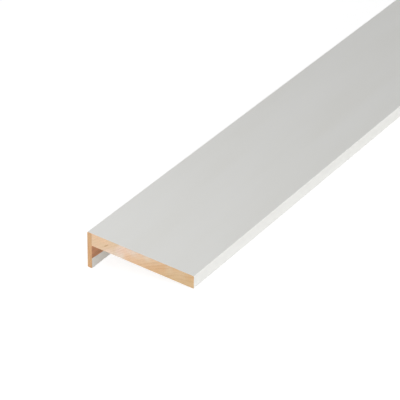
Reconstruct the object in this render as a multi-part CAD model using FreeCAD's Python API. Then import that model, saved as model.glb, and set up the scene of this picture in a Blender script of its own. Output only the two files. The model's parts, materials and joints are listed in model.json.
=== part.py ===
"""Adjustable door architrave, one length of stock.

A flat face board has a thin tongue strip glued along one long edge. The strip is flush with
the face and stands out behind the board, where it slides into the groove of a door frame.
The length lies face up on a level floor: on the tip of its tongue and on its free back edge.

The section is drawn face up, with x across the face from the outer side of the tongue and
z = 0 on the face. The length runs along y.
"""

import FreeCAD
import Part

import math
import os

# Driving dimensions, in millimetres
LENGTH = 2200.0            # stock length, sawn square at both ends
FACE_WIDTH = 70.0          # width of the painted face, over the board and the edge of the strip
BOARD_THICKNESS = 8.0
TONGUE_THICKNESS = 3.0
TONGUE_HEIGHT = 23.0       # from the face down to the tip of the tongue
FACE_ARRIS = 0.3           # radius on the two long edges of the face
BACK_ARRIS = 0.3           # radius on the free back edge of the board
TIP_ARRIS = 0.3            # radius on both edges of the tongue's tip


def eased_corner(corner, before, after, radius):
    """Start, middle and end of the arc that rounds one square corner of an outline."""
    to_before = (before - corner).normalize()
    to_after = (after - corner).normalize()
    start = corner + to_before * radius
    middle = corner + (to_before + to_after) * radius * (1 - math.sqrt(0.5))
    end = corner + to_after * radius
    return start, middle, end


def section(corners):
    """Face inside square corners, each given as its x, its z and the radius of its arris."""
    points = [FreeCAD.Vector(x, 0, z) for x, z, radius in corners]
    count = len(corners)
    arcs = []
    for i in range(count):
        radius = corners[i][2]
        arcs.append(eased_corner(points[i], points[i - 1], points[(i + 1) % count], radius))
    edges = []
    for i in range(count):
        start, middle, end = arcs[i]
        next_start = arcs[(i + 1) % count][0]
        if corners[i][2] > 0:
            edges.append(Part.Arc(start, middle, end).toShape())
        edges.append(Part.LineSegment(end, next_start).toShape())
    return Part.Face(Part.Wire(edges))


def board_section():
    """The face board: square where the strip is glued on, eased along its free edge."""
    return section([
        (TONGUE_THICKNESS, 0, 0),
        (FACE_WIDTH, 0, FACE_ARRIS),
        (FACE_WIDTH, -BOARD_THICKNESS, BACK_ARRIS),
        (TONGUE_THICKNESS, -BOARD_THICKNESS, 0),
    ])


def strip_section():
    """The tongue strip: its inner face is the glue face above and the free tongue below."""
    return section([
        (0, 0, FACE_ARRIS),
        (TONGUE_THICKNESS, 0, 0),
        (TONGUE_THICKNESS, -TONGUE_HEIGHT, TIP_ARRIS),
        (0, -TONGUE_HEIGHT, TIP_ARRIS),
    ])


def rest_tilt():
    """Angle of the face to the floor when both rounded edges below it touch the floor."""
    run = (FACE_WIDTH - BACK_ARRIS) - (TONGUE_THICKNESS - TIP_ARRIS)
    rise = (TONGUE_HEIGHT - TIP_ARRIS) - (BOARD_THICKNESS - BACK_ARRIS)
    return math.atan2(rise, run) + math.asin((TIP_ARRIS - BACK_ARRIS) / math.hypot(run, rise))


def rest_placement():
    """Turn the section onto its two resting edges, and put the origin on the floor below its middle."""
    turn = FreeCAD.Rotation(FreeCAD.Vector(0, 1, 0), math.degrees(rest_tilt()))
    tip_level = TIP_ARRIS - TONGUE_HEIGHT
    tip_outside = turn.multVec(FreeCAD.Vector(TIP_ARRIS, 0, tip_level))
    tip_inside = turn.multVec(FreeCAD.Vector(TONGUE_THICKNESS - TIP_ARRIS, 0, tip_level))
    face_edge = turn.multVec(FreeCAD.Vector(FACE_WIDTH - FACE_ARRIS, 0, -FACE_ARRIS))
    left = tip_outside.x - TIP_ARRIS
    right = face_edge.x + FACE_ARRIS
    floor = tip_inside.z - TIP_ARRIS
    return FreeCAD.Placement(FreeCAD.Vector(-(left + right) / 2, -LENGTH / 2, -floor), turn)


def sawn_length(profile):
    """One length of a section, lying as the stock comes to rest."""
    solid = profile.extrude(FreeCAD.Vector(0, LENGTH, 0))
    solid.Placement = rest_placement()
    return solid


pieces = {
    "face_board": sawn_length(board_section()),
    "tongue_strip": sawn_length(strip_section()),
}

os.makedirs("parts", exist_ok=True)
for name, solid in pieces.items():
    solid.exportStep("parts/" + name + ".step")
    box = solid.BoundBox
    print(name, "valid", solid.isValid(), "volume %.1f mm3" % solid.Volume)
    print("  x %.3f to %.3f, y %.1f to %.1f, z %.3f to %.3f mm"
          % (box.XMin, box.XMax, box.YMin, box.YMax, box.ZMin, box.ZMax))
print("rest tilt %.3f degrees" % math.degrees(rest_tilt()))
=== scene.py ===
# %% [markdown]
# # A length of white door architrave
#
# The object is one length of trim stock for the frame of a door. A flat pine board is the face
# that shows on the wall. A thin pine strip is glued along one of its edges, flush with the face,
# and stands out behind the board as a tongue that slides into a groove of the frame. The stock is
# painted white where it shows, and it is bare pine where it is sawn or hidden.
#
# Both pieces are long prisms, so the work is in three places: the eased edges of the section, the
# pine at the sawn ends and on the back, and the paint with its edge on the tongue. The packed
# model is loaded first, because every piece takes its place from it.

import json
import math

import bpy
import numpy as np
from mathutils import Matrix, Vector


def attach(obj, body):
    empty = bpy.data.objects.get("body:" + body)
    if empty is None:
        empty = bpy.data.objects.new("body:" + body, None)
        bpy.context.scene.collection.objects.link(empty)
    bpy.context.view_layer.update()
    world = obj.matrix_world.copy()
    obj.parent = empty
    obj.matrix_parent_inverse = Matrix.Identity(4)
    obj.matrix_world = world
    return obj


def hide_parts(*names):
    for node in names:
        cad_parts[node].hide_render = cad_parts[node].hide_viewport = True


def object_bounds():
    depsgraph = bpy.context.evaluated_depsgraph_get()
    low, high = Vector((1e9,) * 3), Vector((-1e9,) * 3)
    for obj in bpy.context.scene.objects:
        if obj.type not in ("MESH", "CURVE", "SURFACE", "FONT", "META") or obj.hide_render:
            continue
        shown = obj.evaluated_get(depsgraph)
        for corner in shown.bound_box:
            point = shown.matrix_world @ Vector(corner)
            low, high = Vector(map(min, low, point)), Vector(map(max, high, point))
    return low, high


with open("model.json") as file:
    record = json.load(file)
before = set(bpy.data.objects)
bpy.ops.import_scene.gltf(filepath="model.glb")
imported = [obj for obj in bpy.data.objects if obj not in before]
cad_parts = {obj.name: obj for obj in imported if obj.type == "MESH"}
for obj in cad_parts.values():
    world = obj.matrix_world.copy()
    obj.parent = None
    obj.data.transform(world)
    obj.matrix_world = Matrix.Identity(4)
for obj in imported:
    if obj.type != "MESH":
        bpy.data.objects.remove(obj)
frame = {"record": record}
CAD_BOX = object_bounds()
print("packed box in metres:", [[round(v, 4) for v in corner] for corner in CAD_BOX])

# %% [markdown]
# ## The section and how it lies
#
# A joiner reads this stock from its section: width of the face, thickness of the board, thickness
# and height of the tongue. Those sizes are named here in metres. The length is read from the
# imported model.
#
# On a level floor the stock leans: it lies on the tip of its tongue and on its free back edge.
# The pieces could be modelled level and turned afterwards, but a finished piece has to sit
# unturned at the origin. So every point is worked out in the section's own directions, across,
# along and height, and one function carries it into the room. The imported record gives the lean:
# it states where the middle of the board's back is and which way that back faces.

# %% Name the sizes and find the lean
MM = 0.001
FACE_WIDTH = 70 * MM
BOARD_THICKNESS = 8 * MM
TONGUE_THICKNESS = 3 * MM
TONGUE_HEIGHT = 23 * MM
ARRIS = 0.3 * MM
LENGTH = CAD_BOX[1].y - CAD_BOX[0].y

back_face = next(m for m in frame["record"]["mounts"] if m["name"] == "back_face")
LEAN = math.atan2(-back_face["axis"][0], -back_face["axis"][2])
TURN = np.array([
    [math.cos(LEAN), 0, math.sin(LEAN)],
    [0, 1, 0],
    [-math.sin(LEAN), 0, math.cos(LEAN)],
])
back_middle = np.array([(TONGUE_THICKNESS + FACE_WIDTH - ARRIS) / 2, LENGTH / 2, -BOARD_THICKNESS])
NEAR_CORNER = np.array(back_face["pos_m"]) - TURN @ back_middle


def in_room(points):
    """Room points of section points (across, along, height): turned by the lean, then shifted
    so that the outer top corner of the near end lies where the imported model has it."""
    return np.asarray(points) @ TURN.T + NEAR_CORNER


print("the face leans %.2f degrees, over a length of %.3f m" % (math.degrees(LEAN), LENGTH))

# %% [markdown]
# ## Eased corners
#
# Planed trim never has knife edges: sanding and paint leave each long corner with a small radius,
# and that thin rounded line is what catches the light. Corners at the glue joint stay square,
# because the two pieces were sanded flush there.
#
# A Bevel modifier could round the corners, but it rounds all that pass its angle. Here each corner
# is drawn as an arc. Points also crowd towards the ends of each flat side, so that the smooth
# shading of an arc stays on the arc and doesn't creep over the flat.

# %% Round a corner and divide a flat side
ARC_STEPS = 6
SIDE_STEPS = 14


def eased_corner(corner, before, after, radius):
    """Quarter circle at a square corner: its centre lies one radius in from both sides, and each
    point is the centre less the radius along a direction that turns from one side to the other."""
    to_before = (before - corner) / np.linalg.norm(before - corner)
    to_after = (after - corner) / np.linalg.norm(after - corner)
    turn = np.linspace(0, math.pi / 2, ARC_STEPS + 1)[:, None]
    centre = corner + radius * (to_before + to_after)
    return centre - radius * (np.cos(turn) * to_after + np.sin(turn) * to_before)


def flat_side(start, end):
    """Inner points of a flat side: its share is half of one less the cosine of an even turn."""
    share = (1 - np.cos(np.linspace(0, math.pi, SIDE_STEPS + 1)[1:-1, None])) / 2
    return start + share * (end - start)


print("an arris has %d points, a flat side %d between its ends" % (ARC_STEPS + 1, SIDE_STEPS - 1))

# %% [markdown]
# ## Closed outlines
#
# A joiner's drawing gives a section by its corners. So does this function: each corner has its
# place, its radius and the finish of the flat side that follows. Faces could also be picked for
# their finish when the mesh is done, but the outline already knows its sides, so every point
# takes the number of its finish along.

# %% Join corners and sides to an outline
PAINTED, BARE, SAWN = 0, 1, 2


def outline(corners):
    """Closed outline as points (across, height), and the finish of the side after each point.
    A corner is its across, its height, its radius and the finish of the flat side that follows."""
    across, height, radii, side_finishes = zip(*corners)
    places = np.stack([across, height], axis=1)
    arcs = []
    for i, radius in enumerate(radii):
        if radius:
            following = places[(i + 1) % len(places)]
            arcs.append(eased_corner(places[i], places[i - 1], following, radius))
        else:
            arcs.append(places[i:i + 1])
    points, finishes = [], []
    for i, arc in enumerate(arcs):
        side = flat_side(arc[-1], arcs[(i + 1) % len(arcs)][0])
        points += [arc, side]
        finishes += [PAINTED] * (len(arc) - 1) + [side_finishes[i]] * (len(side) + 1)
    return np.concatenate(points), np.array(finishes)


print("finish numbers: painted %d, bare %d, sawn %d" % (PAINTED, BARE, SAWN))

# %% [markdown]
# ## The two sections
#
# Both outlines run clockwise, seen from the near end: face, free edge, back and joint on the board,
# and face, inner side, tip and outer side on the tongue. A rub with sandpaper has broken the sharp
# edge of each sawn end, and the joint shows there as a hair line. So each outline can also be
# drawn a little smaller, for the end itself: in by one width on the open sides and by a smaller
# one on the sides that are glued.

# %% Draw the sections of the board and the tongue
SAWN_EASE = 0.15 * MM
JOINT_EASE = 0.03 * MM


def board_outline(ease, joint_ease):
    """The board's outline, moved in by ease on its open sides and by joint_ease at the joint."""
    left, right = TONGUE_THICKNESS + joint_ease, FACE_WIDTH - ease
    face, back = -ease, -BOARD_THICKNESS + ease
    return outline([
        (left, face, 0, PAINTED),
        (right, face, ARRIS - ease, PAINTED),
        (right, back, ARRIS - ease, BARE),
        (left, back, 0, BARE),
    ])


def tongue_outline(ease, joint_ease):
    """The tongue's outline, moved in by ease on three sides and by joint_ease on its inner side."""
    left, right = ease, TONGUE_THICKNESS - joint_ease
    face, tip = -ease, -TONGUE_HEIGHT + ease
    return outline([
        (left, face, ARRIS - ease, PAINTED),
        (right, face, 0, BARE),
        (right, tip, ARRIS - ease, PAINTED),
        (left, tip, ARRIS - ease, PAINTED),
    ])


for name, draw in (("board", board_outline), ("tongue", tongue_outline)):
    print("the %s outline has %d points" % (name, len(draw(0, 0)[0])))

# %% [markdown]
# ## From an outline to a length of stock
#
# A moulder pushes the timber through its cutters and saws it off, and the mesh is made in the same
# way: the outline is carried along the length, and each sawn end is one flat face inside its eased
# edge. The grid of stations and outline points is worked out as one array.
#
# The length is divided into equal runs. They don't change the shape, but they are where the flat
# map of the surface is cut.

# %% Carry an outline along the length
def stock_grid(full, eased, runs):
    """Vertices by station and outline point, and the quads between neighbours of both, where the
    last outline point joins the first. The first and last stations carry the eased outline. Two
    more faces are the sawn ends."""
    inner = np.linspace(0, LENGTH, runs + 1)
    inner[[0, -1]] += SAWN_EASE, -SAWN_EASE
    along = np.concatenate([[0], inner, [LENGTH]])
    count = len(full)
    section = np.stack([eased] + [full] * len(inner) + [eased])
    way = np.broadcast_to(along[:, None], section.shape[:2])
    grid = np.stack([section[..., 0], way, section[..., 1]], axis=-1)
    row = np.arange(len(along) - 1)[:, None] * count
    here = np.arange(count)
    after = (here + 1) % count
    quads = np.stack([row + here, row + after, row + count + after, row + count + here], axis=-1)
    ends = here[::-1], here + (len(along) - 1) * count
    return grid.reshape(-1, 3), quads.reshape(-1, 4), ends


print("each sawn edge is eased by %.2f mm" % (SAWN_EASE / MM))

# %% [markdown]
# ## A flat map of the runs
#
# A picture baked from the finishes needs a flat map of the surface. One map of stock this long and
# thin would be nearly all margin, and a picture in it would be coarse. So the runs lie one above
# the other in the map, each as wide as it is long, and as high as the way round its outline.

# %% Lay the runs out flat
MAP_GAP = 2 * MM


def run_map(full, runs):
    """Map place of each corner of the runs' quads, and the height that the runs take up. The way
    round is the sum of the outline's steps."""
    after = np.roll(full, -1, axis=0)
    way = np.concatenate([[0], np.cumsum(np.linalg.norm(after - full, axis=1))])
    pitch = way[-1] + MAP_GAP
    base = np.arange(runs)[:, None] * pitch
    low, high = base + way[:-1], base + way[1:]
    left = np.zeros_like(low)
    right = left + LENGTH / runs
    across = np.stack([left, left, right, right], axis=-1)
    up = np.stack([low, high, high, low], axis=-1)
    return np.stack([across, up], axis=-1).reshape(-1, 2), runs * pitch


print("%.0f mm of the map are left free between two runs" % (MAP_GAP / MM))

# %% [markdown]
# ## The sawn ends in the map
#
# The grain is finest at the sawn ends, so they are drawn larger than the runs. They follow above
# them, as seen along the length, each with its eased edge round it.

# %% Add the ends to the map
END_ENLARGED = 6


def edge_ring(first, second):
    """Map places of the quads between two outlines: each point, its follower, and the same two on
    the other outline."""
    first_after, second_after = np.roll(first, -1, axis=0), np.roll(second, -1, axis=0)
    return np.stack([first, first_after, second_after, second], axis=1).reshape(-1, 2)


def flat_map(full, eased, runs):
    """Map place of each face corner, in the order of the faces: near edge, runs, far edge, near
    end and far end. An end lies with its longer side level. All is scaled to one square."""
    run_places, runs_height = run_map(full, runs)
    longest_first = np.argsort(-np.ptp(full, axis=0))
    lowest = full.min(axis=0)
    flat = [(points - lowest)[:, longest_first] * END_ENLARGED for points in (eased, full)]
    near_eased, near_full = [points + (0, runs_height) for points in flat]
    end_height = flat[1][:, 1].max() + MAP_GAP
    far_eased, far_full = near_eased + (0, end_height), near_full + (0, end_height)
    places = np.concatenate([
        edge_ring(near_eased, near_full),
        run_places,
        edge_ring(far_full, far_eased),
        near_eased[::-1],
        far_eased,
    ]) + MAP_GAP / 2
    return places / (places.max() + MAP_GAP / 2)


print("sawn ends are drawn %d times as large as the runs" % END_ENLARGED)

# %% [markdown]
# ## Make both pieces
#
# A piece is its grid, its finish numbers and its map. Faces are smooth, and edges that turn by more
# than forty degrees stay sharp, so arcs shade as arcs and the saw's edges stay crisp.

# %% Put the meshes together
MAP_NAME = "OFBake"
SHARP_ANGLE = math.radians(40)


def length_of_stock(name, draw, runs):
    """One piece in its place, from the function that draws its outline."""
    full, finishes = draw(0, 0)
    eased, _ = draw(SAWN_EASE, JOINT_EASE)
    vertices, quads, ends = stock_grid(full, eased, runs)
    mesh = bpy.data.meshes.new(name)
    mesh.from_pydata(in_room(vertices), [], quads.tolist() + [end.tolist() for end in ends])
    edge = np.full(len(full), SAWN)
    slots = np.concatenate([edge, np.tile(finishes, runs), edge, [SAWN, SAWN]])
    mesh.polygons.foreach_set("material_index", slots.astype(np.int32))
    layer = mesh.uv_layers.new(name=MAP_NAME)
    layer.uv.foreach_set("vector", flat_map(full, eased, runs).astype(np.float32).ravel())
    mesh.shade_smooth()
    mesh.set_sharp_from_angle(angle=SHARP_ANGLE)
    piece = bpy.data.objects.new(name, mesh)
    bpy.context.scene.collection.objects.link(piece)
    print("%s: %d vertices, %d faces" % (name, len(mesh.vertices), len(mesh.polygons)))
    return piece


board = length_of_stock("pine_face_board", board_outline, runs=4)
tongue = length_of_stock("pine_tongue_strip", tongue_outline, runs=6)

# %% [markdown]
# ## Small helpers for shader nodes
#
# The finishes are all node trees, with no pictures. Node code is long when each node, link and
# value has its own line, so a few helpers make one node each: a value that is itself a socket is
# linked, and any other value is typed into the node.

# %% Make nodes
def add_node(tree, kind, inputs, **settings):
    """One node of a kind, with its settings, and its inputs by name or number."""
    made = tree.nodes.new(kind)
    for name, value in settings.items():
        setattr(made, name, value)
    for key, value in inputs.items():
        if isinstance(value, bpy.types.NodeSocket):
            tree.links.new(value, made.inputs[key])
        else:
            made.inputs[key].default_value = value
    return made


def maths(tree, operation, *values):
    """Result of one Math node."""
    return add_node(tree, "ShaderNodeMath", dict(enumerate(values)), operation=operation).outputs[0]


def vector_maths(tree, operation, *vectors):
    """Result of one Vector Math node that puts out a vector."""
    inputs = dict(enumerate(vectors))
    return add_node(tree, "ShaderNodeVectorMath", inputs, operation=operation).outputs[0]


def size_of(tree, vector):
    """The length of a vector."""
    return add_node(tree, "ShaderNodeVectorMath", {0: vector}, operation="LENGTH").outputs["Value"]


node_helpers = add_node, maths, vector_maths, size_of
print("node helpers:", ", ".join(helper.__name__ for helper in node_helpers))

# %% [markdown]
# ## Noise and soft steps
#
# Wood and paint are never even, and nearly all of that unevenness is made with two things. Noise
# is a soft random landscape that comes out the same each time. Its scale has a number for each
# direction, so a pattern can be long along the grain and fine across it. A smooth step then picks
# a part of that landscape, or sets a border with a soft edge.

# %% Make noise and soft steps
def noise(tree, place, scale, detail=2.0, result="Fac"):
    """Soft noise from 0 to 1: it changes about once in each unit of the place times its scale."""
    vector = vector_maths(tree, "MULTIPLY", place, scale)
    inputs = {"Vector": vector, "Scale": 1.0, "Detail": detail}
    return add_node(tree, "ShaderNodeTexNoise", inputs).outputs[result]


def noise_along(tree, value, scale=1.0, detail=2.0):
    """Noise of one number, that changes about once in each unit of it at a scale of 1."""
    inputs = {"W": value, "Scale": scale, "Detail": detail}
    return add_node(tree, "ShaderNodeTexNoise", inputs, noise_dimensions="1D").outputs["Fac"]


def ramp(tree, value, start, end, low=0.0, high=1.0):
    """Smooth step: low up to start, high from end, and an S curve between them."""
    inputs = {"Value": value, "From Min": start, "From Max": end, "To Min": low, "To Max": high}
    made = add_node(tree, "ShaderNodeMapRange", inputs, interpolation_type="SMOOTHSTEP")
    return made.outputs["Result"]


print("noise helpers:", ", ".join(helper.__name__ for helper in (noise, noise_along, ramp)))

# %% [markdown]
# ## Pine, as a solid
#
# The sawn end shows rings, the back and the tongue show the same rings cut lengthwise, and at each
# corner the lines have to meet. Two pictures would never match there, so the wood is a solid
# pattern: the colour depends only on the place in the timber, as it does in a tree.
#
# A ring is a shell round the pith, so the distance from the pith counts the rings. Slow noise bends
# the shells, and far slower along the grain than across it. Within a ring the wood darkens towards
# the late summer's growth and drops back at once to the pale spring wood, more in some years than
# in others. Places are in millimetres here, and the y direction runs along the length.

# %% Find the rings
BEND_SCALE = (0.03, 0.0022, 0.03)
BEND_REACH = 9.0
STRETCH_RATE = 0.35
STRETCH_REACH = 2.0
LATE_GROWS = 0.35, 0.9
LATE_STOPS = 0.95, 1.0
FAINTEST_RING = 0.25


def distance_across(tree, place, axis):
    """Distance of a place from a line along the length: the size of the step between them, with
    its part along the length left out."""
    step = vector_maths(tree, "SUBTRACT", place, axis)
    return size_of(tree, vector_maths(tree, "MULTIPLY", step, (1, 0, 1)))


def ring_radius(tree, place, pith):
    """Distance from the pith, after slow noise has moved the place sideways. That noise is a
    colour, and each of its numbers less one half is a step in one direction."""
    bend = noise(tree, place, BEND_SCALE, result="Color")
    step = vector_maths(tree, "ADD", bend, (-0.5, -0.5, -0.5))
    shift = vector_maths(tree, "MULTIPLY", step, (BEND_REACH, 0, BEND_REACH))
    return distance_across(tree, vector_maths(tree, "ADD", place, shift), pith)


def late_wood(tree, years):
    """Share of late wood: the fraction of an unevenly stretched count of years sets where in the
    ring the place is, and the whole number, as a seed, how strong that ring is."""
    stretch = noise_along(tree, maths(tree, "MULTIPLY", years, STRETCH_RATE))
    count = maths(tree, "MULTIPLY_ADD", stretch, STRETCH_REACH, years)
    season = maths(tree, "FRACT", count)
    growing = ramp(tree, season, *LATE_GROWS)
    stopping = ramp(tree, season, *LATE_STOPS, 1.0, 0.0)
    seed = {"W": maths(tree, "FLOOR", count)}
    chance = add_node(tree, "ShaderNodeTexWhiteNoise", seed, noise_dimensions="1D").outputs["Value"]
    strength = ramp(tree, chance, 0.0, 1.0, FAINTEST_RING, 1.0)
    return maths(tree, "MULTIPLY", maths(tree, "MULTIPLY", growing, stopping), strength)


print("rings bend by up to %.1f mm each way" % (BEND_REACH / 2))

# %% [markdown]
# ## Groups of nodes
#
# Four materials show pine and three show paint. Each could hold its own copy of the nodes, but
# then a change to the pine would have to be made four times. A node group is built once and placed
# in each material with its own values, as a joiner sets one machine differently for each timber.

# %% Start and finish a group
SOCKET_KINDS = {
    "value": "NodeSocketFloat",
    "vector": "NodeSocketVector",
    "colour": "NodeSocketColor",
}


def new_group(name, inputs, outputs):
    """An empty shader group: its tree, its input sockets by name and its output sockets by name."""
    tree = bpy.data.node_groups.new(name, "ShaderNodeTree")
    for direction, sockets in (("INPUT", inputs), ("OUTPUT", outputs)):
        for socket, kind in sockets.items():
            tree.interface.new_socket(name=socket, in_out=direction, socket_type=SOCKET_KINDS[kind])
    return tree, tree.nodes.new("NodeGroupInput").outputs, tree.nodes.new("NodeGroupOutput").inputs


def put(tree, results, **sockets):
    """Links the named results of a group."""
    for name, socket in sockets.items():
        tree.links.new(socket, results[name])


print("a group's sockets can be:", ", ".join(SOCKET_KINDS))

# %% [markdown]
# ## The colours of pine
#
# Towards the pith lies the heartwood, which is browner, and some years in the sapwood are paler
# than the rest. Neither border is sharp or quite round, so both wander with a patchy noise, and
# the same patches turn the hue a little redder or yellower. Fine fibres run along the length. They
# make light and dark streaks, and they stand up a little when the wood is planed or sawn.

# %% Build the pine group
RING_DARKENS = (0.80, 0.68, 0.54, 1)
REDDER = (1.03, 0.97, 0.93, 1)
YELLOWER = (0.98, 1.01, 0.99, 1)
PATCH_SCALE = (0.09, 0.006, 0.09)
BORDER_PATCHES = 0.2, 0.8
BORDER_WANDERS = 5.0
HUE_PATCHES = 0.35, 0.65
HEART_BLUR = 7.0
PALE_BLUR = 8.0
FIBRE_SCALE = (1.8, 0.03, 1.8)
FIBRE_DETAIL = 4.0
FIBRE_STREAKS = 0.25, 0.75
FIBRE_RELIEF = 0.6


def blended(tree, share, first, second, blend="MIX"):
    """Two colours mixed by a share from 0 to 1."""
    inputs = {0: share, 6: first, 7: second}
    return add_node(tree, "ShaderNodeMix", inputs, data_type="RGBA", blend_type=blend).outputs[2]


def heart_and_sap(tree, given, radius, patch):
    """Sapwood, with heartwood within its radius and pale years about theirs."""
    step = ramp(tree, patch, *BORDER_PATCHES, -BORDER_WANDERS, BORDER_WANDERS)
    wandering = maths(tree, "ADD", radius, step)
    from_heart = maths(tree, "SUBTRACT", wandering, given["Heart Radius"])
    heart = ramp(tree, from_heart, -HEART_BLUR, HEART_BLUR, 1.0, 0.0)
    colour = blended(tree, heart, given["Sapwood"], given["Heartwood"])
    from_pale = maths(tree, "ABSOLUTE", maths(tree, "SUBTRACT", wandering, given["Pale Radius"]))
    pale = ramp(tree, from_pale, 0.0, PALE_BLUR, 1.0, 0.0)
    return blended(tree, pale, colour, given["Pale Years"])


def pine_group():
    """Heartwood and sapwood, then late wood, then the patches' hue, then fibres. Positions and
    radii are in millimetres."""
    tree, given, results = new_group(
        "pine_wood",
        {"Position": "vector", "Pith": "vector", "Ring Width": "value", "Late Wood": "value",
         "Sapwood": "colour", "Heartwood": "colour", "Heart Radius": "value",
         "Pale Years": "colour", "Pale Radius": "value", "Fibre": "value"},
        {"Colour": "colour", "Relief": "value"},
    )
    place = given["Position"]
    radius = ring_radius(tree, place, given["Pith"])
    late = late_wood(tree, maths(tree, "DIVIDE", radius, given["Ring Width"]))
    fibre = noise(tree, place, FIBRE_SCALE, FIBRE_DETAIL)
    patch = noise(tree, place, PATCH_SCALE)
    colour = heart_and_sap(tree, given, radius, patch)
    dark = blended(tree, 1.0, colour, RING_DARKENS, "MULTIPLY")
    colour = blended(tree, maths(tree, "MULTIPLY", late, given["Late Wood"]), colour, dark)
    hue = blended(tree, ramp(tree, patch, *HUE_PATCHES), REDDER, YELLOWER)
    colour = blended(tree, 1.0, colour, hue, "MULTIPLY")
    streak = ramp(tree, fibre, *FIBRE_STREAKS, -1.0, 1.0)
    tone = maths(tree, "MULTIPLY_ADD", streak, given["Fibre"], 1.0)
    colour = blended(tree, 1.0, colour, tone, "MULTIPLY")
    put(tree, results, Colour=colour, Relief=maths(tree, "MULTIPLY_ADD", fibre, FIBRE_RELIEF, late))
    return tree


PINE = pine_group()
print("group", PINE.name, "has", len(PINE.nodes), "nodes")

# %% [markdown]
# ## Saw marks
#
# A cross-cut saw leaves fine scratches on the end, and each is an arc round the blade's axle.
# Bump from plain stripes would look machined, so the arcs come from one-dimensional noise on the
# distance from the axle: lines of every strength, all bent alike. A soft patchy mask lets them
# fade, because the last teeth through polish some places more than others.

# %% Build the saw mark group
BLADE_AXLE = (22.0, 0.0, 118.0)
SCRATCH_SCALE = 2.4
SCRATCH_DETAIL = 4.0
POLISH_SCALE = (0.11, 0.11, 0.3)
POLISH_PATCHES = 0.3, 0.7
FAINTEST_SCRATCH = 0.35


def saw_group():
    """Scratches: noise of the distance from the blade's axle, times a soft mask in patches."""
    tree, given, results = new_group("saw_marks", {"Position": "vector"}, {"Marks": "value"})
    place = given["Position"]
    away = distance_across(tree, place, BLADE_AXLE)
    lines = noise_along(tree, away, SCRATCH_SCALE, SCRATCH_DETAIL)
    mask = ramp(tree, noise(tree, place, POLISH_SCALE), *POLISH_PATCHES, FAINTEST_SCRATCH, 1.0)
    put(tree, results, Marks=maths(tree, "MULTIPLY", maths(tree, "SUBTRACT", lines, 0.5), mask))
    return tree


SAW = saw_group()
print("group", SAW.name, "has", len(SAW.nodes), "nodes")

# %% [markdown]
# ## White paint
#
# Factory paint on trim is a satin white, very slightly warm, and almost without texture: a faint
# orange peel, drawn out along the length by the coating line, and a trace of the grain below it.
# One flat colour would look like plastic, so the group puts out a colour that drifts by a few
# percent, a roughness that drifts with it, and a relief that the materials make very shallow.

# %% Build the paint group
PAINT_WHITE = (0.845, 0.845, 0.822, 1)
PAINT_THIN = (0.825, 0.822, 0.790, 1)
DRIFT_SCALE = (0.05, 0.008, 0.05)
DRIFT_PATCHES = 0.3, 0.8
PEEL_SCALE = (0.75, 0.3, 0.75)
TRACE_SCALE = (2.2, 0.03, 2.2)
TRACE_RELIEF = 0.5
PAINT_ROUGHNESS = 0.54, 0.64
ROUGHNESS_PATCHES = 0.6, 1.4


def paint_group():
    """Drifting white: slow noise mixes two whites, quick noise is the orange peel, and long thin
    noise is the trace of the grain. Positions are in millimetres."""
    tree, given, results = new_group(
        "satin_paint", {"Position": "vector"},
        {"Colour": "colour", "Roughness": "value", "Relief": "value"},
    )
    place = given["Position"]
    drift = noise(tree, place, DRIFT_SCALE)
    peel = noise(tree, place, PEEL_SCALE, detail=1.0)
    trace = noise(tree, place, TRACE_SCALE, detail=1.0)
    both = maths(tree, "ADD", drift, peel)
    put(
        tree, results,
        Colour=blended(tree, ramp(tree, drift, *DRIFT_PATCHES), PAINT_WHITE, PAINT_THIN),
        Roughness=ramp(tree, both, *ROUGHNESS_PATCHES, *PAINT_ROUGHNESS),
        Relief=maths(tree, "MULTIPLY_ADD", trace, TRACE_RELIEF, peel),
    )
    return tree


PAINT = paint_group()
print("group", PAINT.name, "has", len(PAINT.nodes), "nodes")

# %% [markdown]
# ## Where a finish is on the stock
#
# All three groups work on places in the timber, in millimetres, in the section's own directions.
# Object coordinates are places in the room, because each piece sits unturned at the origin. One
# Mapping node in each material undoes the lean and the shift.

# %% Start and connect a material
TO_MILLIMETRES = 1 / MM


def start_material(name):
    """An empty material: its tree, its shader and the section position in millimetres. The
    mapping turns a room point back by the lean and takes off the place of the near corner."""
    material = bpy.data.materials.new(name)
    material.use_nodes = True
    tree = material.node_tree
    shader = tree.nodes["Principled BSDF"]
    place = add_node(tree, "ShaderNodeMapping", {
        "Vector": add_node(tree, "ShaderNodeTexCoord", {}).outputs["Object"],
        "Location": -(NEAR_CORNER @ TURN) * TO_MILLIMETRES,
        "Rotation": (0, -LEAN, 0),
        "Scale": (TO_MILLIMETRES,) * 3,
    }).outputs[0]
    return material, tree, shader, place


def use_group(tree, group, inputs):
    """Outputs of a group that is placed in a material with its own values."""
    return add_node(tree, "ShaderNodeGroup", inputs, node_tree=group).outputs


def connect(tree, shader, colour, roughness, relief):
    """Links colour, roughness and a bump whose height is in millimetres to the shader."""
    bump = add_node(tree, "ShaderNodeBump", {"Height": relief, "Strength": 1.0, "Distance": MM})
    tree.links.new(colour, shader.inputs["Base Color"])
    tree.links.new(roughness, shader.inputs["Roughness"])
    tree.links.new(bump.outputs["Normal"], shader.inputs["Normal"])


print("section corner of the near end:", [round(v, 4) for v in NEAR_CORNER])
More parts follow.
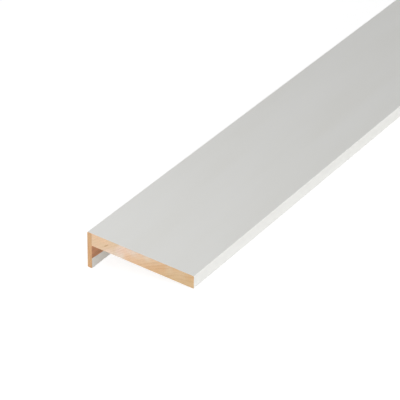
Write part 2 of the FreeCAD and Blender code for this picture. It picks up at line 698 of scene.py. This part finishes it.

# %% [markdown]
# ## Two timbers
#
# The board and the tongue come from different timber: the board is pale and pinkish, the tongue
# is brown and closer grained. The same timber also looks different sawn and planed. End grain
# drinks in the light, so the board's planed back is paler than its end, while the tongue's planed
# side is darker and redder than its end. So the pine's values are a table with one row for each
# timber, and a second set of colours for the planed sides.

# %% Describe the timbers
BOARD_END = {
    "Pith": (101.0, 0.0, -118.0),
    "Ring Width": 1.5,
    "Late Wood": 0.40,
    "Sapwood": (0.795, 0.572, 0.387, 1),
    "Heartwood": (0.692, 0.464, 0.259, 1),
    "Heart Radius": 126.5,
    "Pale Years": (0.828, 0.664, 0.556, 1),
    "Pale Radius": 138.5,
    "Fibre": 0.07,
}
TONGUE_END = {
    "Pith": (-58.0, 0.0, -20.0),
    "Ring Width": 1.05,
    "Late Wood": 0.55,
    "Sapwood": (0.685, 0.422, 0.230, 1),
    "Heartwood": (0.610, 0.356, 0.176, 1),
    "Heart Radius": 46.0,
    "Pale Years": (0.720, 0.465, 0.270, 1),
    "Pale Radius": 76.0,
    "Fibre": 0.09,
}
BOARD_PLANED = {
    **BOARD_END,
    "Sapwood": (0.825, 0.665, 0.485, 1),
    "Heartwood": (0.745, 0.550, 0.360, 1),
    "Pale Years": (0.845, 0.700, 0.530, 1),
    "Fibre": 0.12,
}
TONGUE_PLANED = {
    **TONGUE_END,
    "Sapwood": (0.615, 0.315, 0.180, 1),
    "Heartwood": (0.538, 0.263, 0.137, 1),
    "Pale Years": (0.634, 0.344, 0.199, 1),
    "Fibre": 0.20,
}
for name, timber in (("board", BOARD_END), ("tongue", TONGUE_END)):
    print("the %s has a ring every %.2f mm" % (name, timber["Ring Width"]))

# %% [markdown]
# ## Edges of the paint
#
# The spray that paints the face also reaches round the edges. On the inner side of the tongue the
# lower part is white, and the paint stops at a slightly wavy line. On the back of the board it laps
# round the free edge by a ragged millimetre or two. Both laps could be cut into the mesh, but paint
# has no straight border, so they are masks. The lap on the tongue is a curve: a mean height and two
# long waves, of which the first goes down over the first centimetre from the sawn end. The lap on
# the back is a noisy width. Fine noise frays the first a little.

# %% Say where the paint laps onto the pine
LAP_HEIGHT = -16.8
LAP_WAVES = ((0.50, 41.0), (0.22, 113.0))
LAP_WAVE_START = 5.0
LAP_FRAY = 0.3
FRAY_SCALE = (2, 0.9, 2)
LAP_SOFTNESS = 0.09
BACK_LAP = 3.8
RAGGED_SCALE = (0.2, 0.05, 0.2)
RAGGED_DETAIL = 4.0


def parts_of(tree, vector):
    """The three numbers of a vector."""
    return add_node(tree, "ShaderNodeSeparateXYZ", {0: vector}).outputs


def tongue_lap(tree, place):
    """1 below the lap's curve: the mean height less the waves, each a sine of the way along."""
    parts = parts_of(tree, place)
    fray = noise(tree, place, FRAY_SCALE)
    curve = maths(tree, "MULTIPLY_ADD", fray, LAP_FRAY, LAP_HEIGHT - LAP_FRAY / 2)
    way = maths(tree, "SUBTRACT", parts["Y"], LAP_WAVE_START)
    for size, wavelength in LAP_WAVES:
        wave = maths(tree, "SINE", maths(tree, "MULTIPLY", way, 2 * math.pi / wavelength))
        curve = maths(tree, "MULTIPLY_ADD", wave, -size, curve)
    above = maths(tree, "SUBTRACT", parts["Z"], curve)
    return ramp(tree, above, -LAP_SOFTNESS, LAP_SOFTNESS, 1.0, 0.0)


def back_lap(tree, place):
    """1 within a lap of the free edge, whose width is noise of the place."""
    ragged = noise(tree, place, RAGGED_SCALE, RAGGED_DETAIL)
    border = maths(tree, "MULTIPLY_ADD", ragged, -BACK_LAP, FACE_WIDTH * TO_MILLIMETRES)
    beyond = maths(tree, "SUBTRACT", parts_of(tree, place)["X"], border)
    return ramp(tree, beyond, -LAP_SOFTNESS, LAP_SOFTNESS)


print("paint laps onto the tongue up to about %.1f mm below the face" % -LAP_HEIGHT)

# %% [markdown]
# ## Painted and planed sides
#
# Paint alone is on the face, the free edge, and the outer side and tip of the tongue. Planed pine
# with a lap of paint is on the back of the board and on the inner side of the tongue. Each material
# is a few lines now: it places the groups, mixes them and links the result. Depths are in
# millimetres. The paint stands proud of the pine by the thickness of its film, so the lap has
# a small step that catches the light.

# %% Make the painted and the planed finishes
PAINT_PEEL = 0.006
PAINT_FILM = 0.12
GRAIN_DEPTH = 0.025
PLANED_ROUGHNESS = 0.72


def between(tree, share, first, second):
    """Two values mixed by a share from 0 to 1."""
    inputs = {0: share, 2: first, 3: second}
    return add_node(tree, "ShaderNodeMix", inputs, data_type="FLOAT").outputs[0]


def painted(name):
    """Paint alone."""
    material, tree, shader, place = start_material(name)
    paint = use_group(tree, PAINT, {"Position": place})
    relief = maths(tree, "MULTIPLY", paint["Relief"], PAINT_PEEL)
    connect(tree, shader, paint["Colour"], paint["Roughness"], relief)
    return material


def planed(name, timber, lap):
    """Planed pine, and paint where lap, a function of the tree and the place, gives 1."""
    material, tree, shader, place = start_material(name)
    pine = use_group(tree, PINE, {"Position": place, **timber})
    paint = use_group(tree, PAINT, {"Position": place})
    share = lap(tree, place)
    grain = maths(tree, "MULTIPLY", pine["Relief"], GRAIN_DEPTH)
    film = maths(tree, "MULTIPLY_ADD", paint["Relief"], PAINT_PEEL, PAINT_FILM)
    colour = blended(tree, share, pine["Colour"], paint["Colour"])
    roughness = between(tree, share, PLANED_ROUGHNESS, paint["Roughness"])
    connect(tree, shader, colour, roughness, between(tree, share, grain, film))
    return material


satin_white = painted("satin_white")
board_back = planed("board_back", BOARD_PLANED, back_lap)
tongue_inside = planed("tongue_inside", TONGUE_PLANED, tongue_lap)
print("made", [finish.name for finish in (satin_white, board_back, tongue_inside)])

# %% [markdown]
# ## Sawn ends
#
# The ends are bare pine with the saw's scratches, which are darker where they are deeper. The near
# end of the board shows a little resin pocket, a dark lens that lies along a ring. It could be a
# piece of its own, but it is flush with the wood, so it is a mask: a Mapping node of the texture
# kind turns its place, slant and half lengths into one round shape.

# %% Make the sawn finishes
RESIN_POCKET = {
    "Location": (12.85, 0.0, -3.9),
    "Rotation": (0.0, math.radians(-38), 0.0),
    "Scale": (2.3, 9.0, 0.42),
}
RESIN_FADES = 0.5, 1.0
RESIN_DARKENS = (0.77, 0.67, 0.54, 1)
SAW_DEPTH = 0.09
SAW_TONE = 0.22
SAWN_ROUGHNESS = 0.85


def resin(tree, place):
    """1 within the resin pocket: the distance from its middle, counted in its half lengths."""
    inputs = {"Vector": place, **RESIN_POCKET}
    local = add_node(tree, "ShaderNodeMapping", inputs, vector_type="TEXTURE").outputs[0]
    return ramp(tree, size_of(tree, local), *RESIN_FADES, 1.0, 0.0)


def sawn(name, timber):
    """Sawn pine: the solid's colour with the resin pocket, darker in the scratches, with both
    reliefs added."""
    material, tree, shader, place = start_material(name)
    pine = use_group(tree, PINE, {"Position": place, **timber})
    marks = use_group(tree, SAW, {"Position": place})["Marks"]
    tone = maths(tree, "MULTIPLY_ADD", marks, SAW_TONE, 1.0)
    colour = blended(tree, resin(tree, place), pine["Colour"], RESIN_DARKENS, "MULTIPLY")
    colour = blended(tree, 1.0, colour, tone, "MULTIPLY")
    roughness = maths(tree, "MULTIPLY_ADD", marks, SAW_TONE, SAWN_ROUGHNESS)
    grain = maths(tree, "MULTIPLY", pine["Relief"], GRAIN_DEPTH)
    connect(tree, shader, colour, roughness, maths(tree, "MULTIPLY_ADD", marks, SAW_DEPTH, grain))
    return material


board_end = sawn("board_end", BOARD_END)
tongue_end = sawn("tongue_end", TONGUE_END)
print("made", [finish.name for finish in (board_end, tongue_end)])

# %% [markdown]
# ## Put the finishes on
#
# Each face already has the number of its finish, so a piece only needs its list in the order of
# those numbers: painted, bare, sawn.

# %% Fill the material slots
for piece, finishes in (
    (board, (satin_white, board_back, board_end)),
    (tongue, (satin_white, tongue_inside, tongue_end)),
):
    for finish in finishes:
        piece.data.materials.append(finish)
    print(piece.name, "wears", [finish.name for finish in finishes])

# %% [markdown]
# ## The floor
#
# The floor is white to the eye. Lighting a floor until it is white would burn out the white paint
# on it, so rays from the camera, and mirror and glass rays, see a glow added to the floor. All
# other rays see a floor of ordinary white. Near the stock the glow leaves room for the light of the
# lamps, so the shadow below the stock stays on the floor. Farther away, where the lamps don't
# reach, the glow is full.

# %% Lay the floor
WHITE = (1, 1, 1, 1)
FLOOR_REACH = 40.0
FLOOR_WHITE = 0.90
FLOOR_SEEN = 0.30
GLOW_NEAR, GLOW_FAR = 0.86, 1.0
GLOW_GROWS = 1.2, 3.0


def seen_directly(tree):
    """1 for rays from the camera, and for mirror and glass rays that go on from it."""
    path = add_node(tree, "ShaderNodeLightPath", {}).outputs
    either = maths(tree, "MAXIMUM", path["Is Camera Ray"], path["Is Glossy Ray"])
    return maths(tree, "MAXIMUM", either, path["Is Transmission Ray"])


def floor_white():
    """The floor's white, whose glow grows with the distance from the origin."""
    material = bpy.data.materials.new("studio_white")
    material.use_nodes = True
    tree = material.node_tree
    shader = tree.nodes["Principled BSDF"]
    seen = seen_directly(tree)
    away = size_of(tree, add_node(tree, "ShaderNodeTexCoord", {}).outputs["Object"])
    glow = maths(tree, "MULTIPLY", seen, ramp(tree, away, *GLOW_GROWS, GLOW_NEAR, GLOW_FAR))
    tree.links.new(between(tree, seen, FLOOR_WHITE, FLOOR_SEEN), shader.inputs["Base Color"])
    tree.links.new(glow, shader.inputs["Emission Strength"])
    shader.inputs["Emission Color"].default_value = WHITE
    shader.inputs["Roughness"].default_value = 1.0
    shader.inputs["Specular IOR Level"].default_value = 0.0
    return material


def lay_floor():
    """A square floor through the origin: its corners are all pairs of plus and minus its reach."""
    mesh = bpy.data.meshes.new("studio_floor")
    side = np.array([-FLOOR_REACH, FLOOR_REACH])
    corners = np.stack(np.meshgrid(side, side, [0.0]), axis=-1).reshape(-1, 3)
    mesh.from_pydata(corners, [], [(0, 1, 3, 2)])
    mesh.materials.append(floor_white())
    floor = bpy.data.objects.new("studio_floor", mesh)
    bpy.context.scene.collection.objects.link(floor)
    return floor


floor = lay_floor()
print("floor glow %.2f near the stock and %.2f far away" % (GLOW_NEAR, GLOW_FAR))

# %% [markdown]
# ## The sky
#
# Above the floor the eye meets a plain white world. As light it is much dimmer, and it only fills
# the shadows. Light Path tells the two apart, as it does for the floor.

# %% Light the sky
SKY_LIGHT = 0.25


def light_sky():
    """A white world: full strength where it is seen, and dimmer as light."""
    world = bpy.data.worlds.new("studio_world")
    world.use_nodes = True
    tree = world.node_tree
    background = tree.nodes["Background"]
    strength = between(tree, seen_directly(tree), SKY_LIGHT, 1.0)
    tree.links.new(strength, background.inputs["Strength"])
    background.inputs["Color"].default_value = WHITE
    bpy.context.scene.world = world


light_sky()
bpy.context.scene.view_settings.view_transform = "Standard"
print("the sky lights with a strength of %.2f" % SKY_LIGHT)

# %% [markdown]
# ## Lamps
#
# The light is soft, as from the wide boxes of a studio. Three of them stand low and more than two
# metres away, on the right, in front and on the left, so the free edge is brighter than the face
# and the sawn end is clear. One bare lamp would be simpler, but it would throw a hard shadow. A
# small lamp hangs over the near end, so the face dims over the first third of a metre. One more
# hangs over the far end and a long one between them, so the rest of the length is as white. Sizes
# are in metres, and power is in watts.

# %% Set up the lamps
def object_matrix(place, axes):
    """Matrix of an object whose own axes are the columns of axes, at a place in the room."""
    matrix = np.eye(4)
    matrix[:3, :3] = axes
    matrix[:3, 3] = place
    return matrix.T.tolist()


def soft_lamp(name, place, aim, width, height, power):
    """A flat lamp at a place in the room, turned to its aim: it shines along minus back, and its
    width is level."""
    lamp = bpy.data.lights.new(name, "AREA")
    lamp.shape = "RECTANGLE"
    lamp.size = width
    lamp.size_y = height
    lamp.energy = power
    back = (place - aim) / np.linalg.norm(place - aim)
    level = np.cross((0, 0, 1), back)
    right = level / np.linalg.norm(level)
    axes = np.stack([right, np.cross(back, right), back], axis=1)
    holder = bpy.data.objects.new(name, lamp)
    holder.matrix_world = object_matrix(place, axes)
    holder.visible_camera = False
    bpy.context.scene.collection.objects.link(holder)
    print("%s: %.2f m from its aim, %.2f W" % (name, np.linalg.norm(place - aim), power))


near_end = in_room((FACE_WIDTH / 2, 0, 0))
far_end = in_room((FACE_WIDTH / 2, LENGTH, 0))
soft_lamp("right_lamp", place=near_end + (2.2, 2.0, 0.42), aim=near_end + (0, 1.0, 0),
          width=3.6, height=0.8, power=43.0)
soft_lamp("front_lamp", place=near_end + (2.2, -3.6, 0.7), aim=near_end,
          width=2.0, height=1.2, power=83.0)
soft_lamp("left_lamp", place=near_end + (-3.0, 1.1, 0.5), aim=near_end + (0, 1.1, 0),
          width=2.4, height=0.8, power=45.0)
soft_lamp("near_lamp", place=near_end + (-0.1, -0.2, 0.4), aim=near_end,
          width=0.35, height=0.35, power=0.83)
soft_lamp("far_lamp", place=far_end + (-0.1, 0.2, 0.4), aim=far_end,
          width=0.35, height=0.35, power=0.55)
soft_lamp("top_lamp", place=near_end + (-0.1, 1.5, 0.45), aim=near_end + (0, 1.5, 0),
          width=1.1, height=0.3, power=0.8)

# %% [markdown]
# ## Camera
#
# The picture is taken from the right of the near end, a little over a metre away, with a long
# lens. The view is given in the section's own directions: where on the face the lens points, and
# from which azimuth, elevation and roll. So the camera leans with the stock, and the face looks
# level in the picture.

# %% Set up the camera
CAMERA_AIM = (31.43 * MM, 61.51 * MM, 0.0)
CAMERA_DISTANCE = 1107.60 * MM
CAMERA_AZIMUTH = math.radians(33.927)
CAMERA_ELEVATION = math.radians(33.470)
CAMERA_ROLL = math.radians(1.289)
CAMERA_LENS = 180.55


def camera_axes(azimuth, elevation, roll):
    """Right, up and back of a camera: level axes from azimuth and elevation, then right and up
    turned about the view by the roll."""
    level = np.array([math.cos(azimuth), math.sin(azimuth), 0])
    back = np.array([
        math.sin(azimuth) * math.cos(elevation),
        -math.cos(azimuth) * math.cos(elevation),
        math.sin(elevation),
    ])
    upright = np.cross(back, level)
    right = math.cos(roll) * level + math.sin(roll) * upright
    up = math.cos(roll) * upright - math.sin(roll) * level
    return np.stack([right, up, back], axis=1)


lens = bpy.data.cameras.new("photo_camera")
lens.lens = CAMERA_LENS
camera = bpy.data.objects.new("photo_camera", lens)
axes = TURN @ camera_axes(CAMERA_AZIMUTH, CAMERA_ELEVATION, CAMERA_ROLL)
camera_place = in_room(CAMERA_AIM) + axes[:, 2] * CAMERA_DISTANCE
camera.matrix_world = object_matrix(camera_place, axes)
bpy.context.scene.collection.objects.link(camera)
bpy.context.scene.camera = camera
print("camera at", [round(v, 3) for v in camera_place])

# %% [markdown]
# ## Hand the pieces over
#
# The stock doesn't move, so both pieces ride on the one body. Each stands for its solid in the
# imported model, and that solid is hidden.

# %% Join the pieces to the imported model
for piece, node, slot in (
    (board, "face_board", "painted_board"),
    (tongue, "tongue_strip", "painted_tongue"),
):
    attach(piece, "root")
    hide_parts(node)
